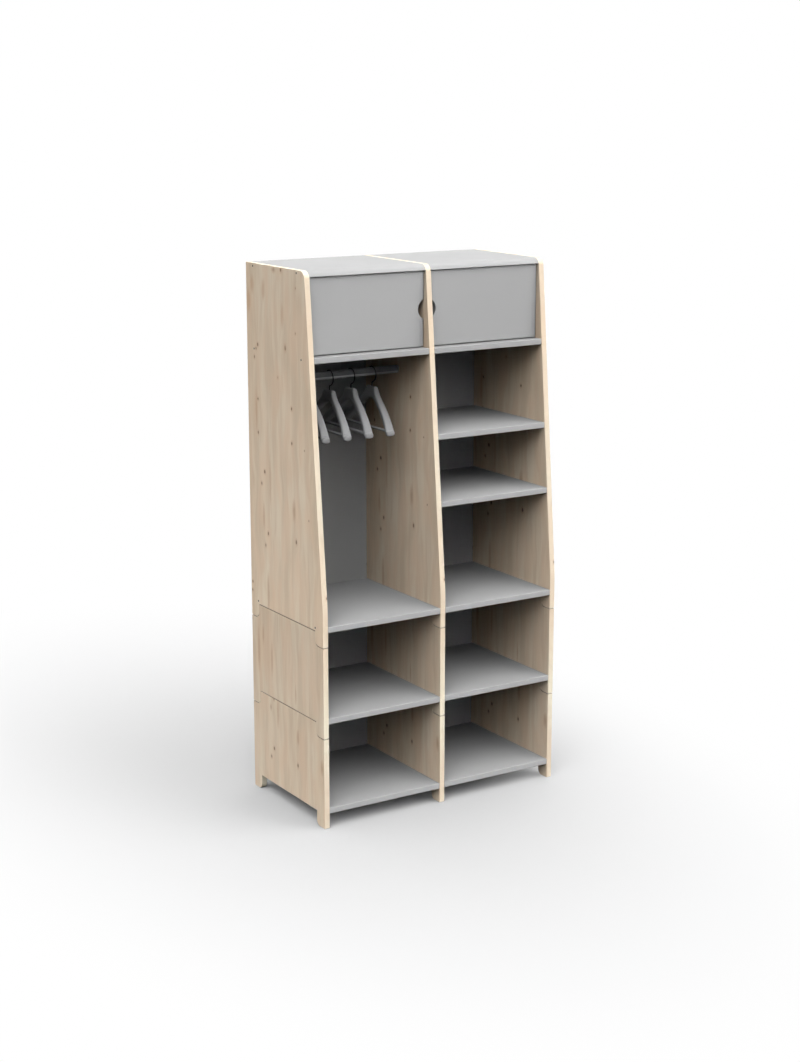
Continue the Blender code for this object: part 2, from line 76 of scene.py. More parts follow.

# Painted shade that changes with height, from these feet up: the two lower sections are shaded as
# one
PAINTED_SHADE_FEET = {"base": 0.0, "second": 0.0, "upper": 0.71}
PAINTED_LIGHT_AT_FOOT = 0.065
PAINTED_SHADE_FALL = 0.15
EDGE_PAINTED_SHADE_START = 0.10
EDGE_PAINTED_SHADE_FULL = 1.00

# Staves and the yearly rings round the pith of each, with another stretch of staves in each section
STAVE_WIDTH = 0.070
STAVE_CHANCE = 0.6
STAVE_TONES = 0.12
FIRST_STRETCH = 3.7
NEXT_STRETCH = 9.3
SEAM_EDGE = (0.002, 0.014)
PITH_NEAREST = 0.022
PITH_DEPTH = 0.050
PITH_SPREAD = 0.060
RING_GAP = 0.0042
RING_RISE = (0.25, 0.82)
RING_FALL = (0.86, 1.00)
RING_RAISED = 0.5

# Streaks, flecks and fibres: how far noise is stretched along x, y and z, and the range that shows
WANDER = 0.045
WANDER_STRETCH = (5.0, 6.0, 1.7)
LEAN = 0.075
LEAN_STRETCH = (3.0, 8.0, 3.4)
BAND_STRETCH = (6.0, 26.0, 2.3)
TONE_RANGE = (0.32, 0.70)
BLUSH_STRETCH = (5.0, 15.0, 4.5)
BLUSH_RANGE = (0.38, 0.66)
FLECK_STRETCH = (30.0, 90.0, 7.0)
FLECK_RANGE = (0.56, 0.80)
FIBRE_STRETCH = (900.0, 900.0, 16.0)
FIBRE_RANGE = (0.35, 0.75)

# Knots, with the reach of each mask in half widths of the knot
KNOT_NOISE = 150.0
KNOT_STRETCH = (1.0, 1.0, 0.4)
KNOT_RAGGED = 1.1
KNOT_REACHES = {"Core": (0.45, 1.10), "Halo": (0.5, 2.5), "Swell": (0.0, 7.0)}
KNOT_SWELL = 0.008

# Finish of the lacquer, and how far a face has to turn to count as sideways, upwards or lying
SPRUCE_ROUGHNESS = (0.44, 0.58)
ROUGH_RANGE = (0.2, 0.8)
SPRUCE_SPECULAR = 0.30
GRAIN_BUMP = 0.25
GRAIN_DEPTH = 0.0003
SIDEWAYS = (0.3, 0.7)
UPWARDS = (0.3, 0.8)
LYING = (0.5, 0.8)

# Shading of the CAD meshes
CREASE_ANGLE = math.radians(33)
WELD_DISTANCE = 1e-5
FLAT_WEIGHT = 100


def put(tree, kind, sockets=None, **options):
    """Place a node, set its options, and give each named input a value or a link."""
    made = tree.nodes.new(kind)
    for option, value in options.items():
        setattr(made, option, value)
    for socket, value in (sockets or {}).items():
        if isinstance(value, bpy.types.NodeSocket):
            tree.links.new(value, made.inputs[socket])
        else:
            made.inputs[socket].default_value = value
    return made


def reckon(tree, operation, *values):
    """The result of a Math node."""
    return put(tree, "ShaderNodeMath", dict(enumerate(values)), operation=operation).outputs[0]


def reckon_vector(tree, operation, *values):
    """The result of a Vector Math node."""
    sockets = dict(enumerate(values))
    return put(tree, "ShaderNodeVectorMath", sockets, operation=operation).outputs[0]


def between(tree, value, low, high, start=0.0, end=1.0):
    """A value eased from one range to another and held at both ends."""
    sockets = {"Value": value, "From Min": low, "From Max": high, "To Min": start, "To Max": end}
    return put(tree, "ShaderNodeMapRange", sockets, interpolation_type="SMOOTHSTEP").outputs[0]


def tint(tree, factor, first, second):
    """Two colours mixed by a factor."""
    return put(tree, "ShaderNodeMix", {0: factor, 6: first, 7: second}, data_type="RGBA").outputs[2]


def noise(tree, place, scale=1.0, detail=2.0, stretch=(1.0, 1.0, 1.0), roughness=0.5):
    """Noise over a place that may be stretched."""
    place = reckon_vector(tree, "MULTIPLY", place, stretch)
    sockets = {"Vector": place, "Scale": scale, "Detail": detail, "Roughness": roughness}
    return put(tree, "ShaderNodeTexNoise", sockets).outputs[0]


def shader_group(name, inputs, outputs):
    """A shader node group with named sockets, and its input and output nodes."""
    tree = bpy.data.node_groups.new(name, "ShaderNodeTree")
    for label, kind in inputs.items():
        tree.interface.new_socket(label, in_out="INPUT", socket_type=kind)
    for label in outputs:
        tree.interface.new_socket(label, in_out="OUTPUT", socket_type="NodeSocketFloat")
    return tree, tree.nodes.new("NodeGroupInput").outputs, tree.nodes.new("NodeGroupOutput").inputs


def placed_group(tree, group, sockets):
    """A shader group placed in a material."""
    return put(tree, "ShaderNodeGroup", sockets, node_tree=group).outputs


def new_material(name):
    """A material with its node tree, its Principled shader and its Object coordinates."""
    made = bpy.data.materials.new(name)
    made.use_nodes = True
    tree = made.node_tree
    place = put(tree, "ShaderNodeTexCoord").outputs["Object"]
    return made, tree, tree.nodes["Principled BSDF"], place


def bump(tree, shader, height, strength, distance):
    """A height carried into a shader's normal."""
    sockets = {"Height": height, "Strength": strength, "Distance": distance}
    normal = put(tree, "ShaderNodeBump", sockets).outputs[0]
    tree.links.new(normal, shader.inputs["Normal"])


def knot_group():
    """One knot or streak: its dark core, its resin halo, and its swelling of the grain round it."""
    vector, number = "NodeSocketVector", "NodeSocketFloat"
    sockets = {"Place": vector, "Centre": vector, "Reach": vector, "Size": number}
    tree, given, result = shader_group("spruce_knot", sockets, KNOT_REACHES)
    away = reckon_vector(tree, "SUBTRACT", given["Place"], given["Centre"])
    weighed = reckon_vector(tree, "MULTIPLY", away, given["Reach"])
    span = put(tree, "ShaderNodeVectorMath", {0: weighed}, operation="LENGTH").outputs["Value"]
    share = reckon(tree, "DIVIDE", span, given["Size"])
    ragged = noise(tree, given["Place"], KNOT_NOISE, stretch=KNOT_STRETCH)
    ragged = reckon(tree, "SUBTRACT", ragged, 0.5)
    share = reckon(tree, "MULTIPLY_ADD", ragged, KNOT_RAGGED, share)
    for label, reach in KNOT_REACHES.items():
        tree.links.new(between(tree, share, *reach, 1.0, 0.0), result[label])
    return tree


def grain_group():
    """Staves, bands, yearly rings, flecks and fibres of a board, as a solid pattern along Z."""
    sockets = {"Place": "NodeSocketVector", "Board": "NodeSocketFloat", "Swell": "NodeSocketFloat"}
    outputs = ("Tone", "Blush", "Ring", "Fleck", "Fibre", "Seam")
    tree, given, result = shader_group("spruce_grain", sockets, outputs)
    parts = put(tree, "ShaderNodeSeparateXYZ", {0: given["Place"]}).outputs
    row = reckon(tree, "MULTIPLY_ADD", parts["Y"], 1 / STAVE_WIDTH, given["Board"])
    sockets = {"W": row, "Scale": 1.0, "Randomness": STAVE_CHANCE}
    stave = put(tree, "ShaderNodeTexVoronoi", sockets, voronoi_dimensions="1D").outputs
    chance = put(tree, "ShaderNodeSeparateColor", {0: stave["Color"]}).outputs
    options = {"voronoi_dimensions": "1D", "feature": "DISTANCE_TO_EDGE"}
    edge = put(tree, "ShaderNodeTexVoronoi", sockets, **options).outputs["Distance"]
    tree.links.new(between(tree, edge, *SEAM_EDGE, 1.0, 0.0), result["Seam"])

    # Each stave has its own pith, a little outside the board, and its grain wanders along it.
    across = reckon(tree, "MULTIPLY", reckon(tree, "SUBTRACT", row, stave["W"]), STAVE_WIDTH)
    pith_x = reckon(tree, "MULTIPLY_ADD", chance[0], PITH_DEPTH, PITH_NEAREST)
    pith_y = reckon(tree, "MULTIPLY_ADD", chance[1], PITH_SPREAD, -PITH_SPREAD / 2)
    from_x = reckon(tree, "SUBTRACT", parts["X"], pith_x)
    from_y = reckon(tree, "SUBTRACT", across, pith_y)
    square = reckon(tree, "MULTIPLY_ADD", from_y, from_y, reckon(tree, "MULTIPLY", from_x, from_x))
    sockets = {0: given["Board"], 1: chance[2], 2: chance[0]}
    shift = put(tree, "ShaderNodeCombineXYZ", sockets).outputs[0]
    shifted = reckon_vector(tree, "ADD", given["Place"], shift)
    wander = noise(tree, shifted, stretch=WANDER_STRETCH)
    radius = reckon(tree, "MULTIPLY_ADD", wander, WANDER, reckon(tree, "SQRT", square))
    radius = reckon(tree, "MULTIPLY_ADD", given["Swell"], KNOT_SWELL, radius)
    year = reckon(tree, "FRACT", reckon(tree, "DIVIDE", radius, RING_GAP))
    fall = between(tree, year, *RING_FALL, 1.0, 0.0)
    rise = between(tree, year, *RING_RISE)
    tree.links.new(reckon(tree, "MULTIPLY", rise, fall), result["Ring"])

    # Its streaks are short and lean a little, one way and the other.
    lean = noise(tree, shifted, stretch=LEAN_STRETCH)
    lean = reckon(tree, "MULTIPLY_ADD", lean, LEAN, given["Board"])
    sweep = put(tree, "ShaderNodeCombineXYZ", {1: lean}).outputs[0]
    swept = reckon_vector(tree, "ADD", given["Place"], sweep)
    band = noise(tree, swept, detail=3.0, stretch=BAND_STRETCH, roughness=0.6)
    own = reckon(tree, "MULTIPLY_ADD", chance[2], STAVE_TONES, -STAVE_TONES / 2)
    tone = reckon(tree, "ADD", band, own)
    tree.links.new(between(tree, tone, *TONE_RANGE), result["Tone"])
    blush = noise(tree, swept, stretch=BLUSH_STRETCH)
    tree.links.new(between(tree, blush, *BLUSH_RANGE), result["Blush"])
    fleck = noise(tree, swept, detail=2.5, stretch=FLECK_STRETCH)
    tree.links.new(between(tree, fleck, *FLECK_RANGE), result["Fleck"])
    fibre = noise(tree, given["Place"], detail=3.0, stretch=FIBRE_STRETCH)
    tree.links.new(fibre, result["Fibre"])
    return tree


spruce_knot = knot_group()
spruce_grain = grain_group()

# Knots and resin streaks as (y, z, half width, length to width, darkness of the core). They are the
# same on all three panels, which are cut to one pattern. One on an arris has its x as well.
KNOTS = {
    "base": [
        (0.102, 0.184, 0.0050, 1.3, 0.8), (0.123, 0.148, 0.0044, 1.4, 0.6),
        (-0.070, 0.172, 0.0048, 1.5, 0.8), (-0.072, 0.276, 0.0048, 3.2, 0.0),
        (0.123, 0.333, 0.0036, 2.2, 0.2), (0.100, 0.369, 0.0044, 1.4, 0.5),
        (0.071, 0.327, 0.0040, 8.0, 0.0), (-0.238, 0.215, 0.0058, 2.6, 0.1),
    ],
    "second": [
        (0.206, 0.528, 0.0052, 8.0, 0.0), (0.109, 0.512, 0.0040, 9.0, 0.0),
        (0.171, 0.590, 0.0034, 6.0, 0.0), (-0.060, 0.430, 0.0030, 7.0, 0.0),
    ],
    "upper": [
        (0.181, 1.429, 0.0044, 1.3, 0.9), (-0.057, 1.428, 0.0048, 1.3, 1.0),
        (0.183, 1.312, 0.0044, 1.4, 0.8), (-0.056, 1.310, 0.0046, 1.3, 0.9),
        (0.177, 1.617, 0.0052, 1.3, 0.9), (0.189, 1.603, 0.0040, 1.3, 0.8),
        (0.201, 1.572, 0.0042, 1.5, 0.7), (-0.018, 1.627, 0.0054, 1.9, 0.7),
        (0.140, 1.180, 0.0048, 1.3, 0.9), (0.163, 1.136, 0.0040, 1.4, 0.6),
        (0.121, 0.965, 0.0050, 1.3, 0.8), (0.141, 0.919, 0.0042, 1.5, 0.5),
        (-0.078, 0.974, 0.0050, 1.6, 0.8), (-0.166, 1.065, 0.0024, 1.3, 0.7),
        (-0.142, 1.299, 0.0024, 1.3, 0.7), (0.036, 1.521, 0.0036, 1.3, 0.2),
        (-0.089, 1.683, 0.0030, 1.4, 0.4), (-0.093, 1.832, 0.0028, 1.6, 0.6),
        (0.006, 1.883, 0.0050, 1.3, 0.8), (0.056, 1.881, 0.0085, 0.8, 0.25),
        (0.243, 0.767, 0.0040, 1.3, 0.8), (0.245, 0.736, 0.0040, 1.3, 0.7),
        (0.210, 1.821, 0.0080, 2.2, 0.0), (0.131, 1.808, 0.0070, 3.0, 0.0),
        (0.238, 1.764, 0.0090, 2.4, 0.0), (0.000, 1.734, 0.0060, 4.0, 0.0),
        (0.193, 1.390, 0.0045, 9.0, 0.0), (0.101, 1.155, 0.0045, 11.0, 0.0),
        (-0.065, 1.079, 0.0070, 3.0, 0.1), (0.151, 1.016, 0.0045, 6.0, 0.0),
        (0.127, 0.744, 0.0045, 9.0, 0.0), (-0.2475, 0.8135, 0.0045, 1.4, 0.9, 0.010),
    ],
}


def spruce(name, board, foot, knots):
    """Clear-lacquered spruce for one section, with its knots and the foot its painted shade rises
    from.
    """
    made, tree, shader, place = new_material(name)

    # The pattern begins again at each panel, so all three have the same grain and knots.
    most = (PANEL_PITCH / 2, NO_WRAP, NO_WRAP)
    least = (-PANEL_PITCH / 2, -NO_WRAP, -NO_WRAP)
    place = reckon_vector(tree, "WRAP", place, most, least)
    core, halo, swell = 0.0, 0.0, 0.0
    for y, z, size, long, dark, *x in knots:
        centre = (*x, y, z) if x else (0.0, y, z)
        reach = (1.0 if x else 0.0, 1.0, 1.0 / long)
        sockets = {"Place": place, "Centre": centre, "Reach": reach, "Size": size}
        knot = placed_group(tree, spruce_knot, sockets)
        core = reckon(tree, "MAXIMUM", core, reckon(tree, "MULTIPLY", knot["Core"], dark))
        halo = reckon(tree, "MAXIMUM", halo, knot["Halo"])
        swell = reckon(tree, "MAXIMUM", swell, knot["Swell"])
    grain = placed_group(tree, spruce_grain, {"Place": place, "Board": board, "Swell": swell})

    # The planed edges, which face front, back, up or down, are paler than the faces, partly as
    # painted light. Painted shade makes them warmer with height, apart from the top edge, which
    # keeps its painted light.
    normal = put(tree, "ShaderNodeNewGeometry").outputs["True Normal"]
    facing = put(tree, "ShaderNodeSeparateXYZ", {0: normal}).outputs
    face = between(tree, reckon(tree, "ABSOLUTE", facing["X"]), *SIDEWAYS)
    height = put(tree, "ShaderNodeSeparateXYZ", {0: place}).outputs["Z"]
    risen = reckon(tree, "SUBTRACT", height, foot)
    edge_painted_shade = between(tree, risen, EDGE_PAINTED_SHADE_START, EDGE_PAINTED_SHADE_FULL)
    edge_painted_shade = reckon(tree, "MULTIPLY", edge_painted_shade, between(tree, facing["Z"], *UPWARDS, 1.0, 0.0))
    edge = tint(tree, grain["Tone"], tint(tree, edge_painted_shade, EDGE_PALE_WITH_PAINTED_LIGHT, EDGE_WARM_WITH_PAINTED_LIGHT), SPRUCE_PALE)
    colour = tint(tree, face, edge, tint(tree, grain["Tone"], SPRUCE_PALE, SPRUCE_WARM))
    share = between(tree, face, 0.0, 1.0, BLUSH_ON_EDGE, BLUSH_ON_FACE)
    colour = tint(tree, reckon(tree, "MULTIPLY", grain["Blush"], share), colour, SPRUCE_BLUSH)
    for mask, share in GRAIN_SHARES.items():
        colour = tint(tree, reckon(tree, "MULTIPLY", grain[mask], share), colour, SPRUCE_RING)

    # Painted light and shade: the faces are a little lighter than the mean at the foot, darker at
    # the head.
    shade = reckon(tree, "MULTIPLY_ADD", risen, -PAINTED_SHADE_FALL, PAINTED_LIGHT_AT_FOOT)
    sockets = {0: colour, "Scale": reckon(tree, "MULTIPLY_ADD", shade, face, 1.0)}
    colour = put(tree, "ShaderNodeVectorMath", sockets, operation="SCALE").outputs[0]
    fibre = between(tree, grain["Fibre"], *FIBRE_RANGE)
    colour = tint(tree, reckon(tree, "MULTIPLY", fibre, FIBRE_SHARE), colour, SPRUCE_RING)
    colour = tint(tree, reckon(tree, "MULTIPLY", halo, HALO_SHARE), colour, KNOT_HALO)
    colour = tint(tree, reckon(tree, "MULTIPLY", core, CORE_SHARE), colour, KNOT_CORE)

    # Only the faces inside the joints lie flat between these heights. They get a painted shade, so
    # the joints show as dark lines.
    above = between(tree, height, JOINTS_FROM, JOINTS_FROM + JOINTS_EASE)
    below = between(tree, height, JOINTS_TO - JOINTS_EASE, JOINTS_TO, 1.0, 0.0)
    inside = reckon(tree, "MULTIPLY", above, below)
    lying = between(tree, reckon(tree, "ABSOLUTE", facing["Z"]), *LYING)
    colour = tint(tree, reckon(tree, "MULTIPLY", inside, lying), colour, JOINT_PAINTED_SHADE)
    tree.links.new(colour, shader.inputs["Base Color"])
    rough = between(tree, grain["Fibre"], *ROUGH_RANGE, *SPRUCE_ROUGHNESS)
    tree.links.new(rough, shader.inputs["Roughness"])
    shader.inputs["Specular IOR Level"].default_value = SPRUCE_SPECULAR
    raised = reckon(tree, "MULTIPLY_ADD", grain["Ring"], RING_RAISED, grain["Fibre"])
    raised = reckon(tree, "SUBTRACT", raised, grain["Seam"])
    bump(tree, shader, raised, GRAIN_BUMP, GRAIN_DEPTH)
    return made


def soft_shading():
    """Round faces shaded smooth across their small angles, and boards crisp at their arrises."""
    tree = bpy.data.node_groups.new("soft_shading", "GeometryNodeTree")
    tree.interface.new_socket("Geometry", in_out="INPUT", socket_type="NodeSocketGeometry")
    limit = tree.interface.new_socket("Crease Angle", in_out="INPUT", socket_type="NodeSocketFloat")
    limit.default_value = CREASE_ANGLE
    tree.interface.new_socket("Geometry", in_out="OUTPUT", socket_type="NodeSocketGeometry")
    given = tree.nodes.new("NodeGroupInput").outputs
    sockets = {"Geometry": given["Geometry"], "Distance": WELD_DISTANCE}
    welded = put(tree, "GeometryNodeMergeByDistance", sockets).outputs[0]
    sockets = {"Geometry": welded, "Name": "custom_normal"}
    plain = put(tree, "GeometryNodeRemoveAttribute", sockets).outputs[0]
    sockets = {"Geometry": plain, "Shade Smooth": True}
    smooth = put(tree, "GeometryNodeSetShadeSmooth", sockets, domain="FACE").outputs[0]
    bend = put(tree, "GeometryNodeInputMeshEdgeAngle").outputs["Unsigned Angle"]
    sockets = {0: bend, 1: given["Crease Angle"]}
    crease = put(tree, "FunctionNodeCompare", sockets, operation="GREATER_THAN").outputs[0]
    sockets = {"Geometry": smooth, "Selection": crease, "Shade Smooth": False}
    crisp = put(tree, "GeometryNodeSetShadeSmooth", sockets, domain="EDGE").outputs[0]
    tree.links.new(crisp, tree.nodes.new("NodeGroupOutput").inputs[0])
    return tree


shading = soft_shading()


def dress(names, material):
    """Give CAD nodes a material and soft shading."""
    for name in names:
        nodes[name].material_slots[0].material = material
        nodes[name].modifiers.new("soft_shading", "NODES").node_group = shading
        flat = nodes[name].modifiers.new("flat_faces", "WEIGHTED_NORMAL")
        flat.keep_sharp = True
        flat.weight = FLAT_WEIGHT


for board, (level, knots) in enumerate(KNOTS.items()):
    offset = FIRST_STRETCH + NEXT_STRETCH * board
    material = spruce(f"clear_lacquered_spruce_{level}", offset, PAINTED_SHADE_FEET[level], knots)
    dress([f"side_{side}_{level}" for side in ("left", "middle", "right")], material)


# Shelves, top panels and doors
# Boards sprayed all round with a satin grey lacquer, so a fine orange peel lies over an even grey.
# The shelves sit between the side panels, and the doors close the cupboards at the top.
GREY_LIGHT = (0.476, 0.476, 0.476, 1.0)
GREY_DARK = (0.455, 0.455, 0.456, 1.0)
SHADE_SCALE = 2.6
SHADE_RANGE = (0.3, 0.7)
GLOSS_SCALE = 11.0
GLOSS_RANGE = (0.25, 0.75)
LACQUER_SPECULAR = 0.03
PEEL_BUMP = 0.1


def lacquer_group():
    """A sprayed coat: slow drift in shade, patches of gloss, and orange peel."""
    sockets = {"Place": "NodeSocketVector", "Peel Scale": "NodeSocketFloat"}
    tree, given, result = shader_group("sprayed_lacquer", sockets, ("Shade", "Gloss", "Peel"))
    shade = noise(tree, given["Place"], SHADE_SCALE)
    tree.links.new(between(tree, shade, *SHADE_RANGE), result["Shade"])
    tree.links.new(noise(tree, given["Place"], GLOSS_SCALE, detail=3.0), result["Gloss"])
    peel = noise(tree, given["Place"], given["Peel Scale"], detail=1.5)
    tree.links.new(peel, result["Peel"])
    return tree


sprayed_lacquer = lacquer_group()


def lacquer(name, dark, light, peel_scale, rough, peel_depth):
    """A sprayed finish between two shades, with roughness between two values."""
    made, tree, shader, place = new_material(name)
    coat = placed_group(tree, sprayed_lacquer, {"Place": place, "Peel Scale": peel_scale})
    tree.links.new(tint(tree, coat["Shade"], dark, light), shader.inputs["Base Color"])
    roughness = between(tree, coat["Gloss"], *GLOSS_RANGE, *rough)
    tree.links.new(roughness, shader.inputs["Roughness"])
    shader.inputs["Specular IOR Level"].default_value = LACQUER_SPECULAR
    bump(tree, shader, coat["Peel"], PEEL_BUMP, peel_depth)
    return made


grey_lacquer = lacquer(
    "grey_lacquered_board", GREY_DARK, GREY_LIGHT,
    peel_scale=420.0, rough=(0.58, 0.68), peel_depth=0.0002,
)
boards = [name for name in nodes if name.startswith(("shelf_", "top_"))]
dress([*boards, "door_left", "door_right"], grey_lacquer)


# Back panels
# Thin boards let in between the side panels behind each bay of each section. They have the same
# kind of sprayed coat as the shelves, in a darker grey.
BACK_LIGHT = (0.408, 0.404, 0.397, 1.0)
BACK_DARK = (0.386, 0.382, 0.376, 1.0)
back_lacquer = lacquer(
    "grey_back_board", BACK_DARK, BACK_LIGHT,
    peel_scale=260.0, rough=(0.55, 0.64), peel_depth=0.0003,
)
dress([name for name in nodes if name.startswith("back_")], back_lacquer)


# Screws
# Dark flat-headed screws driven through the outer panels into the ends of the shelves and tops.
# Each head has a cross recess and lies flush with the panel.
HEAD_RADIUS = 0.0035
HEAD_HEIGHT = 0.003
SHANK_RADIUS = 0.002
SCREW_LENGTH = 0.045
RECESS_WIDTH = 0.0009
RECESS_LENGTH = 0.0044
RECESS_DEPTH = 0.0014
SHANK_START = RECESS_DEPTH * 1.5
HEAD_SIDES = 24
SHANK_SIDES = 16
SCREW_LIGHT = (0.095, 0.078, 0.066, 1.0)
SCREW_DARK = (0.045, 0.036, 0.030, 1.0)
CLOUD_SCALE = 40.0
LINE_RANGE = (0.3, 0.7)
LINE_BUMP = 0.12
LINE_DEPTH = 0.00005


def drawn_metal_group():
    """Drawn or brushed metal: fine lines along one direction."""
    sockets = {"Place": "NodeSocketVector", "Stretch": "NodeSocketVector"}
    tree, given, result = shader_group("drawn_metal", sockets, ("Line", "Cloud"))
    line = noise(tree, given["Place"], detail=3.0, stretch=given["Stretch"])
    tree.links.new(line, result["Line"])
    tree.links.new(noise(tree, given["Place"], CLOUD_SCALE), result["Cloud"])
    return tree


drawn_metal = drawn_metal_group()


def metal(name, dark, light, stretch, rough, metallic=1.0):
    """Metal between two shades, with its lines along the direction of least stretch."""
    made, tree, shader, place = new_material(name)
    lines = placed_group(tree, drawn_metal, {"Place": place, "Stretch": stretch})
    tree.links.new(tint(tree, lines["Cloud"], dark, light), shader.inputs["Base Color"])
    roughness = between(tree, lines["Line"], *LINE_RANGE, *rough)
    tree.links.new(roughness, shader.inputs["Roughness"])
    shader.inputs["Metallic"].default_value = metallic
    bump(tree, shader, lines["Line"], LINE_BUMP, LINE_DEPTH)
    return made


dark_screw = metal(
    "dark_screw", SCREW_DARK, SCREW_LIGHT,
    stretch=(600.0, 600.0, 600.0), rough=(0.34, 0.52), metallic=0.7,
)


def screw_set_tree():
    """Screws with cross recesses on a set of points, each turned about Y by its own angle."""
    tree = bpy.data.node_groups.new("screw_set", "GeometryNodeTree")
    tree.interface.new_socket("Points", in_out="INPUT", socket_type="NodeSocketGeometry")
    for label in ("Head Radius", "Head Height", "Shank Radius", "Length"):
        tree.interface.new_socket(label, in_out="INPUT", socket_type="NodeSocketFloat")
    tree.interface.new_socket("Finish", in_out="INPUT", socket_type="NodeSocketMaterial")
    tree.interface.new_socket("Screws", in_out="OUTPUT", socket_type="NodeSocketGeometry")
    given = tree.nodes.new("NodeGroupInput").outputs

    def lowered(mesh, drop):
        """A mesh moved down by a height."""
        down = reckon(tree, "MULTIPLY", drop, -1.0)
        down = put(tree, "ShaderNodeCombineXYZ", {2: down}).outputs[0]
        sockets = {"Geometry": mesh, "Translation": down}
        return put(tree, "GeometryNodeTransform", sockets).outputs[0]

    sockets = {
        "Vertices": HEAD_SIDES, "Radius": given["Head Radius"], "Depth": given["Head Height"]
    }
    head = put(tree, "GeometryNodeMeshCylinder", sockets).outputs["Mesh"]
    head = lowered(head, reckon(tree, "MULTIPLY", given["Head Height"], 0.5))
    sockets = {"Vertices": SHANK_SIDES, "Radius": given["Shank Radius"], "Depth": given["Length"]}
    shank = put(tree, "GeometryNodeMeshCylinder", sockets).outputs["Mesh"]
    shank = lowered(shank, reckon(tree, "MULTIPLY_ADD", given["Length"], 0.5, SHANK_START))
    slots = put(tree, "GeometryNodeJoinGeometry")
    for size in ((RECESS_LENGTH, RECESS_WIDTH), (RECESS_WIDTH, RECESS_LENGTH)):
        slot = put(tree, "GeometryNodeMeshCube", {"Size": (*size, 2 * RECESS_DEPTH)})
        tree.links.new(slot.outputs["Mesh"], slots.inputs[0])
    body = put(tree, "GeometryNodeMeshBoolean", operation="UNION")
    for mesh in (head, shank):
        tree.links.new(mesh, body.inputs["Mesh 2"])
    sockets = {"Mesh 1": body.outputs[0]}
    driven = put(tree, "GeometryNodeMeshBoolean", sockets, operation="DIFFERENCE")
    tree.links.new(slots.outputs[0], driven.inputs["Mesh 2"])
    turn = put(tree, "GeometryNodeInputNamedAttribute", {"Name": "turn"}, data_type="FLOAT")
    facing = put(tree, "ShaderNodeCombineXYZ", {1: turn.outputs[0]}).outputs[0]
    sockets = {"Points": given["Points"], "Instance": driven.outputs[0], "Rotation": facing}
    spread = put(tree, "GeometryNodeInstanceOnPoints", sockets).outputs[0]
    whole = put(tree, "GeometryNodeRealizeInstances", {"Geometry": spread}).outputs[0]
    sockets = {"Geometry": whole, "Material": given["Finish"]}
    finished = put(tree, "GeometryNodeSetMaterial", sockets).outputs[0]
    tree.links.new(finished, tree.nodes.new("NodeGroupOutput").inputs[0])
    return tree


def made_plain(holder, tree, values):
    """An object's Geometry Nodes result as a plain mesh, with the modifier taken off."""
    grown = holder.modifiers.new(tree.name, "NODES")
    grown.node_group = tree
    for item in tree.interface.items_tree:
        if item.in_out == "INPUT" and item.name in values:
            grown[item.identifier] = values[item.name]
    bpy.context.view_layer.update()
    shape = holder.evaluated_get(bpy.context.evaluated_depsgraph_get())
    mesh = bpy.data.meshes.new_from_object(shape)
    holder.modifiers.remove(grown)
    holder.data = mesh
    return holder


def show(name, data):
    """A mesh or a curve shown in the scene at the origin."""
    made = bpy.data.objects.new(name, data)
    bpy.context.scene.collection.objects.link(made)
    return made


screw_names = [name for name in nodes if name.startswith("screw_")]
spots = []
turns = []
for name in screw_names:
    low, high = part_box(name)
    left = high[0] < 0
    spots.append((low[0] if left else high[0], (low[1] + high[1]) / 2, (low[2] + high[2]) / 2))
    turns.append(-math.pi / 2 if left else math.pi / 2)
points = bpy.data.meshes.new("screws")
points.from_pydata(spots, [], [])
points.attributes.new("turn", "FLOAT", "POINT").data.foreach_set("value", turns)
values = {
    "Head Radius": HEAD_RADIUS,
    "Head Height": HEAD_HEIGHT,
    "Shank Radius": SHANK_RADIUS,
    "Length": SCREW_LENGTH - HEAD_HEIGHT,
    "Finish": dark_screw,
}
screws = made_plain(show("screws", points), screw_set_tree(), values)
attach(screws, "carcass")
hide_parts(*screw_names)


# Hanging rail
# An oval steel tube in satin grey paint, with a painted highlight along its lower edge, and pushed
# over a grey plastic plug that is fixed to the panel at each end.
RAIL_LIGHT = (0.185, 0.185, 0.188, 1.0)
RAIL_DARK = (0.165, 0.165, 0.168, 1.0)
RAIL_PAINTED_HIGHLIGHT = (0.500, 0.500, 0.506, 1.0)
PAINTED_HIGHLIGHT_FULL = 0.0075
PAINTED_HIGHLIGHT_END = 0.0095
PLUG_LIGHT = (0.315, 0.315, 0.322, 1.0)
PLUG_DARK = (0.275, 0.275, 0.283, 1.0)

rail_paint = lacquer(
    "rail_steel", RAIL_DARK, RAIL_LIGHT, peel_scale=500.0, rough=(0.50, 0.60), peel_depth=0.0001
)
tree = rail_paint.node_tree
shader = tree.nodes["Principled BSDF"]
place = put(tree, "ShaderNodeTexCoord").outputs["Object"]
height = put(tree, "ShaderNodeSeparateXYZ", {0: place}).outputs["Z"]
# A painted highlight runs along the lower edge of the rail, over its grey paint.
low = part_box("hanging_rail")[0][2]
painted_highlight = between(tree, height, low + PAINTED_HIGHLIGHT_FULL, low + PAINTED_HIGHLIGHT_END, 1.0, 0.0)
painted = shader.inputs["Base Color"].links[0].from_socket
tree.links.new(tint(tree, painted_highlight, painted, RAIL_PAINTED_HIGHLIGHT), shader.inputs["Base Color"])
dress(["hanging_rail"], rail_paint)
plug_grey = lacquer(
    "rail_plug_plastic", PLUG_DARK, PLUG_LIGHT,
    peel_scale=900.0, rough=(0.46, 0.58), peel_depth=0.0001,
)
dress(["rail_plug_left", "rail_plug_right"], plug_grey)


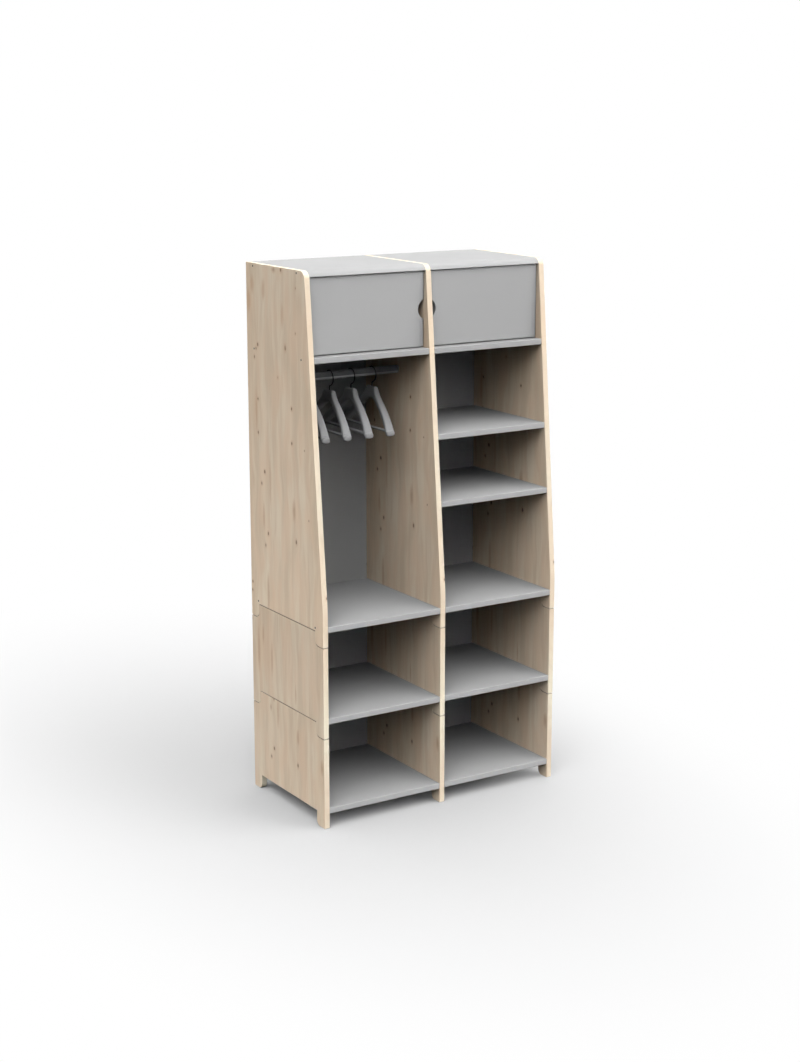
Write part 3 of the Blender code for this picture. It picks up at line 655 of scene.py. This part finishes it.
# Hangers
# Broad-shouldered bows moulded in light grey with their trouser bar, curved forwards at the tips,
# each turning on a hook of black wire that hangs over the rail.
HANGERS = 4
HALF_WIDTH = 0.155
NECK_LENGTH = 0.028
NECK_HEIGHT = 0.040
NECK_STEP = 0.018
NECK_EASE = 0.007
NECK_THICKNESS = 0.0092
SHOULDER_SLOPE = math.radians(38.7)
ARCH_SLOPE = math.radians(41.0)
ARCH_ROUND = 0.030
CONTOUR = 0.023
TIP_THICKNESS = 0.0165
TIP_DROOP = 0.010
TIP_ROUND = 0.008
TIP_CLOSING = 0.40
TIP_STEPS = (0.25, 0.5, 0.7, 0.84, 0.93, 0.98)
SQUARENESS = 0.6
TIP_SOFTNESS = 0.15
TIP_POWER = 8
AROUND = 28
BOW_STEPS = 72

# Trouser bar
BAR_RADIUS = 0.0045
BAR_AT = 0.93
ROD_SIDES = 20

# Wire hook
WIRE_RADIUS = 0.0019
CLEARANCE = 0.0003
STEM_INSIDE = 0.022
STEM_RISE = 0.010
HOOK_BEND = 0.007
HOOK_RADIUS = 0.026
HOOK_END = math.radians(-20)
BEND_STEPS = 10
CROOK_STEPS = 44
WIRE_ROUNDING = 4

# Shading and colours
HANGER_CREASE = math.radians(38)
HANGER_LIGHT = (0.330, 0.330, 0.333, 1.0)
HANGER_DARK = (0.300, 0.300, 0.303, 1.0)
WIRE_LIGHT = (0.028, 0.028, 0.029, 1.0)
WIRE_DARK = (0.012, 0.012, 0.012, 1.0)

hanger_grey = lacquer(
    "grey_hanger", HANGER_DARK, HANGER_LIGHT,
    peel_scale=700.0, rough=(0.44, 0.56), peel_depth=0.0001,
)
hook_black = metal(
    "black_hook_wire", WIRE_DARK, WIRE_LIGHT,
    stretch=(500.0, 500.0, 60.0), rough=(0.30, 0.46), metallic=0.5,
)


def bow_drop(u):
    """How far the upper and lower edges of the bow lie below its top, from -1 to 1 along it."""
    reach = abs(u) * HALF_WIDTH
    past_neck = max(0.0, reach - NECK_LENGTH)
    upper = NECK_STEP * (1 - math.exp(-past_neck / NECK_EASE))
    upper += past_neck * math.tan(SHOULDER_SLOPE) + TIP_DROOP * u**TIP_POWER
    lower = NECK_HEIGHT + (math.hypot(reach, ARCH_ROUND) - ARCH_ROUND) * math.tan(ARCH_SLOPE)
    return upper, lower


def bow_ring(u, past_tip, shrink):
    """One upright section of the bow, as a rounded rectangle."""
    upper, lower = bow_drop(u)
    half_height = (lower - upper) / 2
    thick = NECK_THICKNESS + (TIP_THICKNESS - NECK_THICKNESS) * abs(u)
    square = SQUARENESS + TIP_SOFTNESS * u**TIP_POWER
    ring = []
    for i in range(AROUND):
        turn = 2 * math.pi * (i + 0.5) / AROUND
        wide = math.copysign(abs(math.cos(turn)) ** square, math.cos(turn)) * thick * shrink
        tall = math.copysign(abs(math.sin(turn)) ** square, math.sin(turn)) * half_height * shrink
        y = -u * HALF_WIDTH - math.copysign(past_tip, u)
        ring.append((wide - CONTOUR * u * u, y, tall - (upper + lower) / 2))
    return ring


def bow_mesh():
    """The bow lofted from tip to tip, with rounded ends."""
    rings = [bow_ring(-1 + 2 * i / BOW_STEPS, 0.0, 1.0) for i in range(BOW_STEPS + 1)]
    for part in TIP_STEPS:
        shrink = 1 - TIP_CLOSING * (1 - math.sqrt(1 - part * part))
        rings.insert(0, bow_ring(-1.0, TIP_ROUND * part, shrink))
        rings.append(bow_ring(1.0, TIP_ROUND * part, shrink))
    work = bmesh.new()
    loops = [[work.verts.new(point) for point in ring] for ring in rings]
    for near, far in zip(loops, loops[1:]):
        for i in range(AROUND):
            j = (i + 1) % AROUND
            work.faces.new((near[i], near[j], far[j], far[i]))
    work.faces.new(loops[0])
    work.faces.new(loops[-1])
    bmesh.ops.recalc_face_normals(work, faces=work.faces)
    mesh = bpy.data.meshes.new("hanger_bow")
    work.to_mesh(mesh)
    work.free()
    return mesh


def rod_mesh(radius, length, matrix):
    """A round rod about its own middle, turned and moved by a matrix."""
    work = bmesh.new()
    bmesh.ops.create_cone(
        work, cap_ends=True, segments=ROD_SIDES,
        radius1=radius, radius2=radius, depth=length, matrix=matrix,
    )
    mesh = bpy.data.meshes.new("rod")
    work.to_mesh(mesh)
    work.free()
    return mesh


def carved(mesh, tools):
    """A mesh after joining or cutting with others, as (operation, mesh) pairs."""
    holder = show("carved", mesh)
    helpers = []
    for operation, tool in tools:
        helper = show("tool", tool)
        boolean = holder.modifiers.new(operation, "BOOLEAN")
        boolean.operation = operation
        boolean.object = helper
        helpers.append(helper)
    bpy.context.view_layer.update()
    shape = holder.evaluated_get(bpy.context.evaluated_depsgraph_get())
    result = bpy.data.meshes.new_from_object(shape)
    for helper in (holder, *helpers):
        bpy.data.objects.remove(helper, do_unlink=True)
    return result


def arc(y, z, radius, start, end, steps):
    """Points of an arc in the hanger's plane."""
    turns = [start + (end - start) * i / steps for i in range(steps + 1)]
    return [(0.0, y + radius * math.cos(turn), z + radius * math.sin(turn)) for turn in turns]


def hook_mesh():
    """The wire hook as a round tube with closed ends, from its shank to the end of its crook."""
    middle = math.sqrt(HOOK_RADIUS**2 + 2 * HOOK_RADIUS * HOOK_BEND) + STEM_RISE
    meet = math.atan2(middle - STEM_RISE, HOOK_BEND)
    run = [(0.0, 0.0, -STEM_INSIDE), (0.0, 0.0, 0.0)]
    run += arc(-HOOK_BEND, STEM_RISE, HOOK_BEND, 0.0, meet, BEND_STEPS)
    run += arc(0.0, middle, HOOK_RADIUS, math.pi + meet, HOOK_END, CROOK_STEPS)[1:]
    curve = bpy.data.curves.new("hook", "CURVE")
    curve.dimensions = "3D"
    curve.bevel_depth = WIRE_RADIUS
    curve.bevel_resolution = WIRE_ROUNDING
    curve.use_fill_caps = True
    spline = curve.splines.new("POLY")
    spline.points.add(len(run) - 1)
    for spot, point in zip(spline.points, run):
        spot.co = (*point, 1.0)
    holder = show("hook", curve)
    bpy.context.view_layer.update()
    shape = holder.evaluated_get(bpy.context.evaluated_depsgraph_get())
    mesh = bpy.data.meshes.new_from_object(shape)
    bpy.data.objects.remove(holder, do_unlink=True)
    return mesh


bar_drop = bow_drop(BAR_AT)[1] - BAR_RADIUS - CLEARANCE
bar_place = Matrix.Translation((-CONTOUR * BAR_AT**2, 0.0, -bar_drop))
along_y = Matrix.Rotation(math.pi / 2, 4, "X")
bar = rod_mesh(BAR_RADIUS, 2 * BAR_AT * HALF_WIDTH, bar_place @ along_y)
hole = rod_mesh(WIRE_RADIUS + CLEARANCE, 2 * STEM_INSIDE, Matrix.Identity(4))
moulded_bow = carved(bow_mesh(), [("UNION", bar), ("DIFFERENCE", hole)])
bent_hook = hook_mesh()
low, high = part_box("hanging_rail")
rail_y = (low[1] + high[1]) / 2
for number in range(1, HANGERS + 1):
    low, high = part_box(f"hanger_{number}_hook")
    neck = Matrix.Translation(((low[0] + high[0]) / 2, rail_y, low[2] + STEM_INSIDE))
    for kind, shape, finish in (("bow", moulded_bow, hanger_grey), ("hook", bent_hook, hook_black)):
        mesh = shape.copy()
        mesh.transform(neck)
        mesh.materials.clear()
        mesh.materials.append(finish)
        mesh.shade_smooth()
        mesh.set_sharp_from_angle(angle=HANGER_CREASE)
        piece = show(f"hanger_{kind}_{number}", mesh)
        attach(piece, f"hanger_{number}" if kind == "bow" else f"hook_{number}")
        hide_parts(f"hanger_{number}_{kind}")


# Door fittings
# Each door turns on a steel pin at its foot and head. A steel plate on its back meets a magnetic
# catch in a moulded case under the top panel.
STEEL_LIGHT = (0.49, 0.49, 0.50, 1.0)
STEEL_DARK = (0.40, 0.40, 0.41, 1.0)
CASE_LIGHT = (0.72, 0.72, 0.70, 1.0)
CASE_DARK = (0.66, 0.66, 0.64, 1.0)

pivot_steel = metal(
    "pivot_steel", STEEL_DARK, STEEL_LIGHT, stretch=(900.0, 900.0, 20.0), rough=(0.30, 0.44)
)
dress([name for name in nodes if name.endswith(("_pin", "_strike_plate"))], pivot_steel)
catch_case = lacquer(
    "catch_plastic", CASE_DARK, CASE_LIGHT, peel_scale=800.0, rough=(0.42, 0.54), peel_depth=0.0001
)
dress(["magnetic_catch_left", "magnetic_catch_right"], catch_case)


# Floor and light
# A pale matt studio floor under two soft lamps from the front left, one from the front right, and
# one above as wide as the sky. The far background is white to the camera and in reflections.
FLOOR_PALE = (0.641, 0.641, 0.643, 1.0)
FLOOR_DEEP = (0.626, 0.626, 0.628, 1.0)
FLOOR_NOISE = 1.3
FLOOR_ROUGHNESS = 0.9
FLOOR_SPECULAR = 0.1
FLOOR_REACH = 60.0
FLOOR_DROP = 0.0002
FADE_SCALE = (1.0, 0.6, 1.0)
FADE_SHIFT = (0.2, -0.18, 0.0)
FADE_FROM = 0.4
FADE_TO = 1.6
WHITE = (1.0, 1.0, 1.0, 1.0)
# Each lamp as its name, height and turn from the front in degrees, width in degrees and strength.
LAMPS = (
    ("main_light", 45, -45, 40, 0.82),
    ("upper_light", 60, -45, 80, 1.30),
    ("fill_light", 20, 45, 60, 1.40),
    ("sky_light", 90, 0, 180, 2.26),
)

floor_mesh = bpy.data.meshes.new("floor")
work = bmesh.new()
bmesh.ops.create_grid(work, x_segments=1, y_segments=1, size=FLOOR_REACH)
work.to_mesh(floor_mesh)
work.free()
floor = show("floor", floor_mesh)
floor.location.z = -FLOOR_DROP
floor_paint, tree, shader, place = new_material("studio_floor")
colour = tint(tree, noise(tree, place, FLOOR_NOISE), FLOOR_DEEP, FLOOR_PALE)
tree.links.new(colour, shader.inputs["Base Color"])
shader.inputs["Roughness"].default_value = FLOOR_ROUGHNESS
shader.inputs["Specular IOR Level"].default_value = FLOOR_SPECULAR

# Far from the wardrobe the floor goes over to the white of the background, for the camera only.
spread = reckon_vector(tree, "MULTIPLY_ADD", place, FADE_SCALE, FADE_SHIFT)
reach = put(tree, "ShaderNodeVectorMath", {0: spread}, operation="LENGTH").outputs["Value"]
lit = put(tree, "ShaderNodeEmission", {"Color": WHITE, "Strength": 1.0}).outputs[0]
seen = put(tree, "ShaderNodeLightPath").outputs["Is Camera Ray"]
faded = reckon(tree, "MULTIPLY", between(tree, reach, FADE_FROM, FADE_TO), seen)
blend = put(tree, "ShaderNodeMixShader", {0: faded, 1: shader.outputs[0], 2: lit}).outputs[0]
tree.links.new(blend, tree.nodes["Material Output"].inputs["Surface"])
floor_mesh.materials.append(floor_paint)

scene = bpy.context.scene
world = bpy.data.worlds.new("studio")
scene.world = world
world.use_nodes = True
tree = world.node_tree
tree.nodes.clear()
rays = put(tree, "ShaderNodeLightPath").outputs
mirrored = reckon(tree, "MAXIMUM", rays["Is Glossy Ray"], rays["Is Transmission Ray"])
mirrored = reckon(tree, "MULTIPLY", mirrored, reckon(tree, "LESS_THAN", rays["Diffuse Depth"], 0.5))
seen = reckon(tree, "MAXIMUM", rays["Is Camera Ray"], mirrored)
white = put(tree, "ShaderNodeBackground", {"Color": WHITE, "Strength": seen}).outputs[0]
put(tree, "ShaderNodeOutputWorld", {"Surface": white})

# The light of the lamps doesn't bounce, so the open spaces stay dark and neutral at the back.
for name, height, turn, width, strength in LAMPS:
    lamp = bpy.data.lights.new(name, "SUN")
    lamp.energy = strength
    lamp.angle = math.radians(width)
    lamp.cycles.max_bounces = 0
    lamp.cycles.use_multiple_importance_sampling = False
    light = bpy.data.objects.new(name, lamp)
    light.rotation_euler = (math.radians(90 - height), 0.0, math.radians(turn))
    scene.collection.objects.link(light)


# Camera
# It stands where the photograph was taken from, to the left of the front and higher than the
# wardrobe, and looks a little down.
FOCAL_PIXELS = 1910.2
FRAME_HEIGHT = 1062
SENSOR_WIDTH = 36.0
VIEW_REACH = 200.0
CAMERA_PLACE = (-3.5226, -5.5793, 2.4932)
CAMERA_TILT = 13.264
CAMERA_TURN = -32.142

view = bpy.data.cameras.new("camera")
view.sensor_width = SENSOR_WIDTH
view.lens = FOCAL_PIXELS / FRAME_HEIGHT * SENSOR_WIDTH
view.clip_end = VIEW_REACH
camera = bpy.data.objects.new("camera", view)
camera.location = CAMERA_PLACE
camera.rotation_euler = (math.radians(90 - CAMERA_TILT), 0.0, math.radians(CAMERA_TURN))
scene.collection.objects.link(camera)
scene.camera = camera
scene.view_settings.view_transform = "Standard"
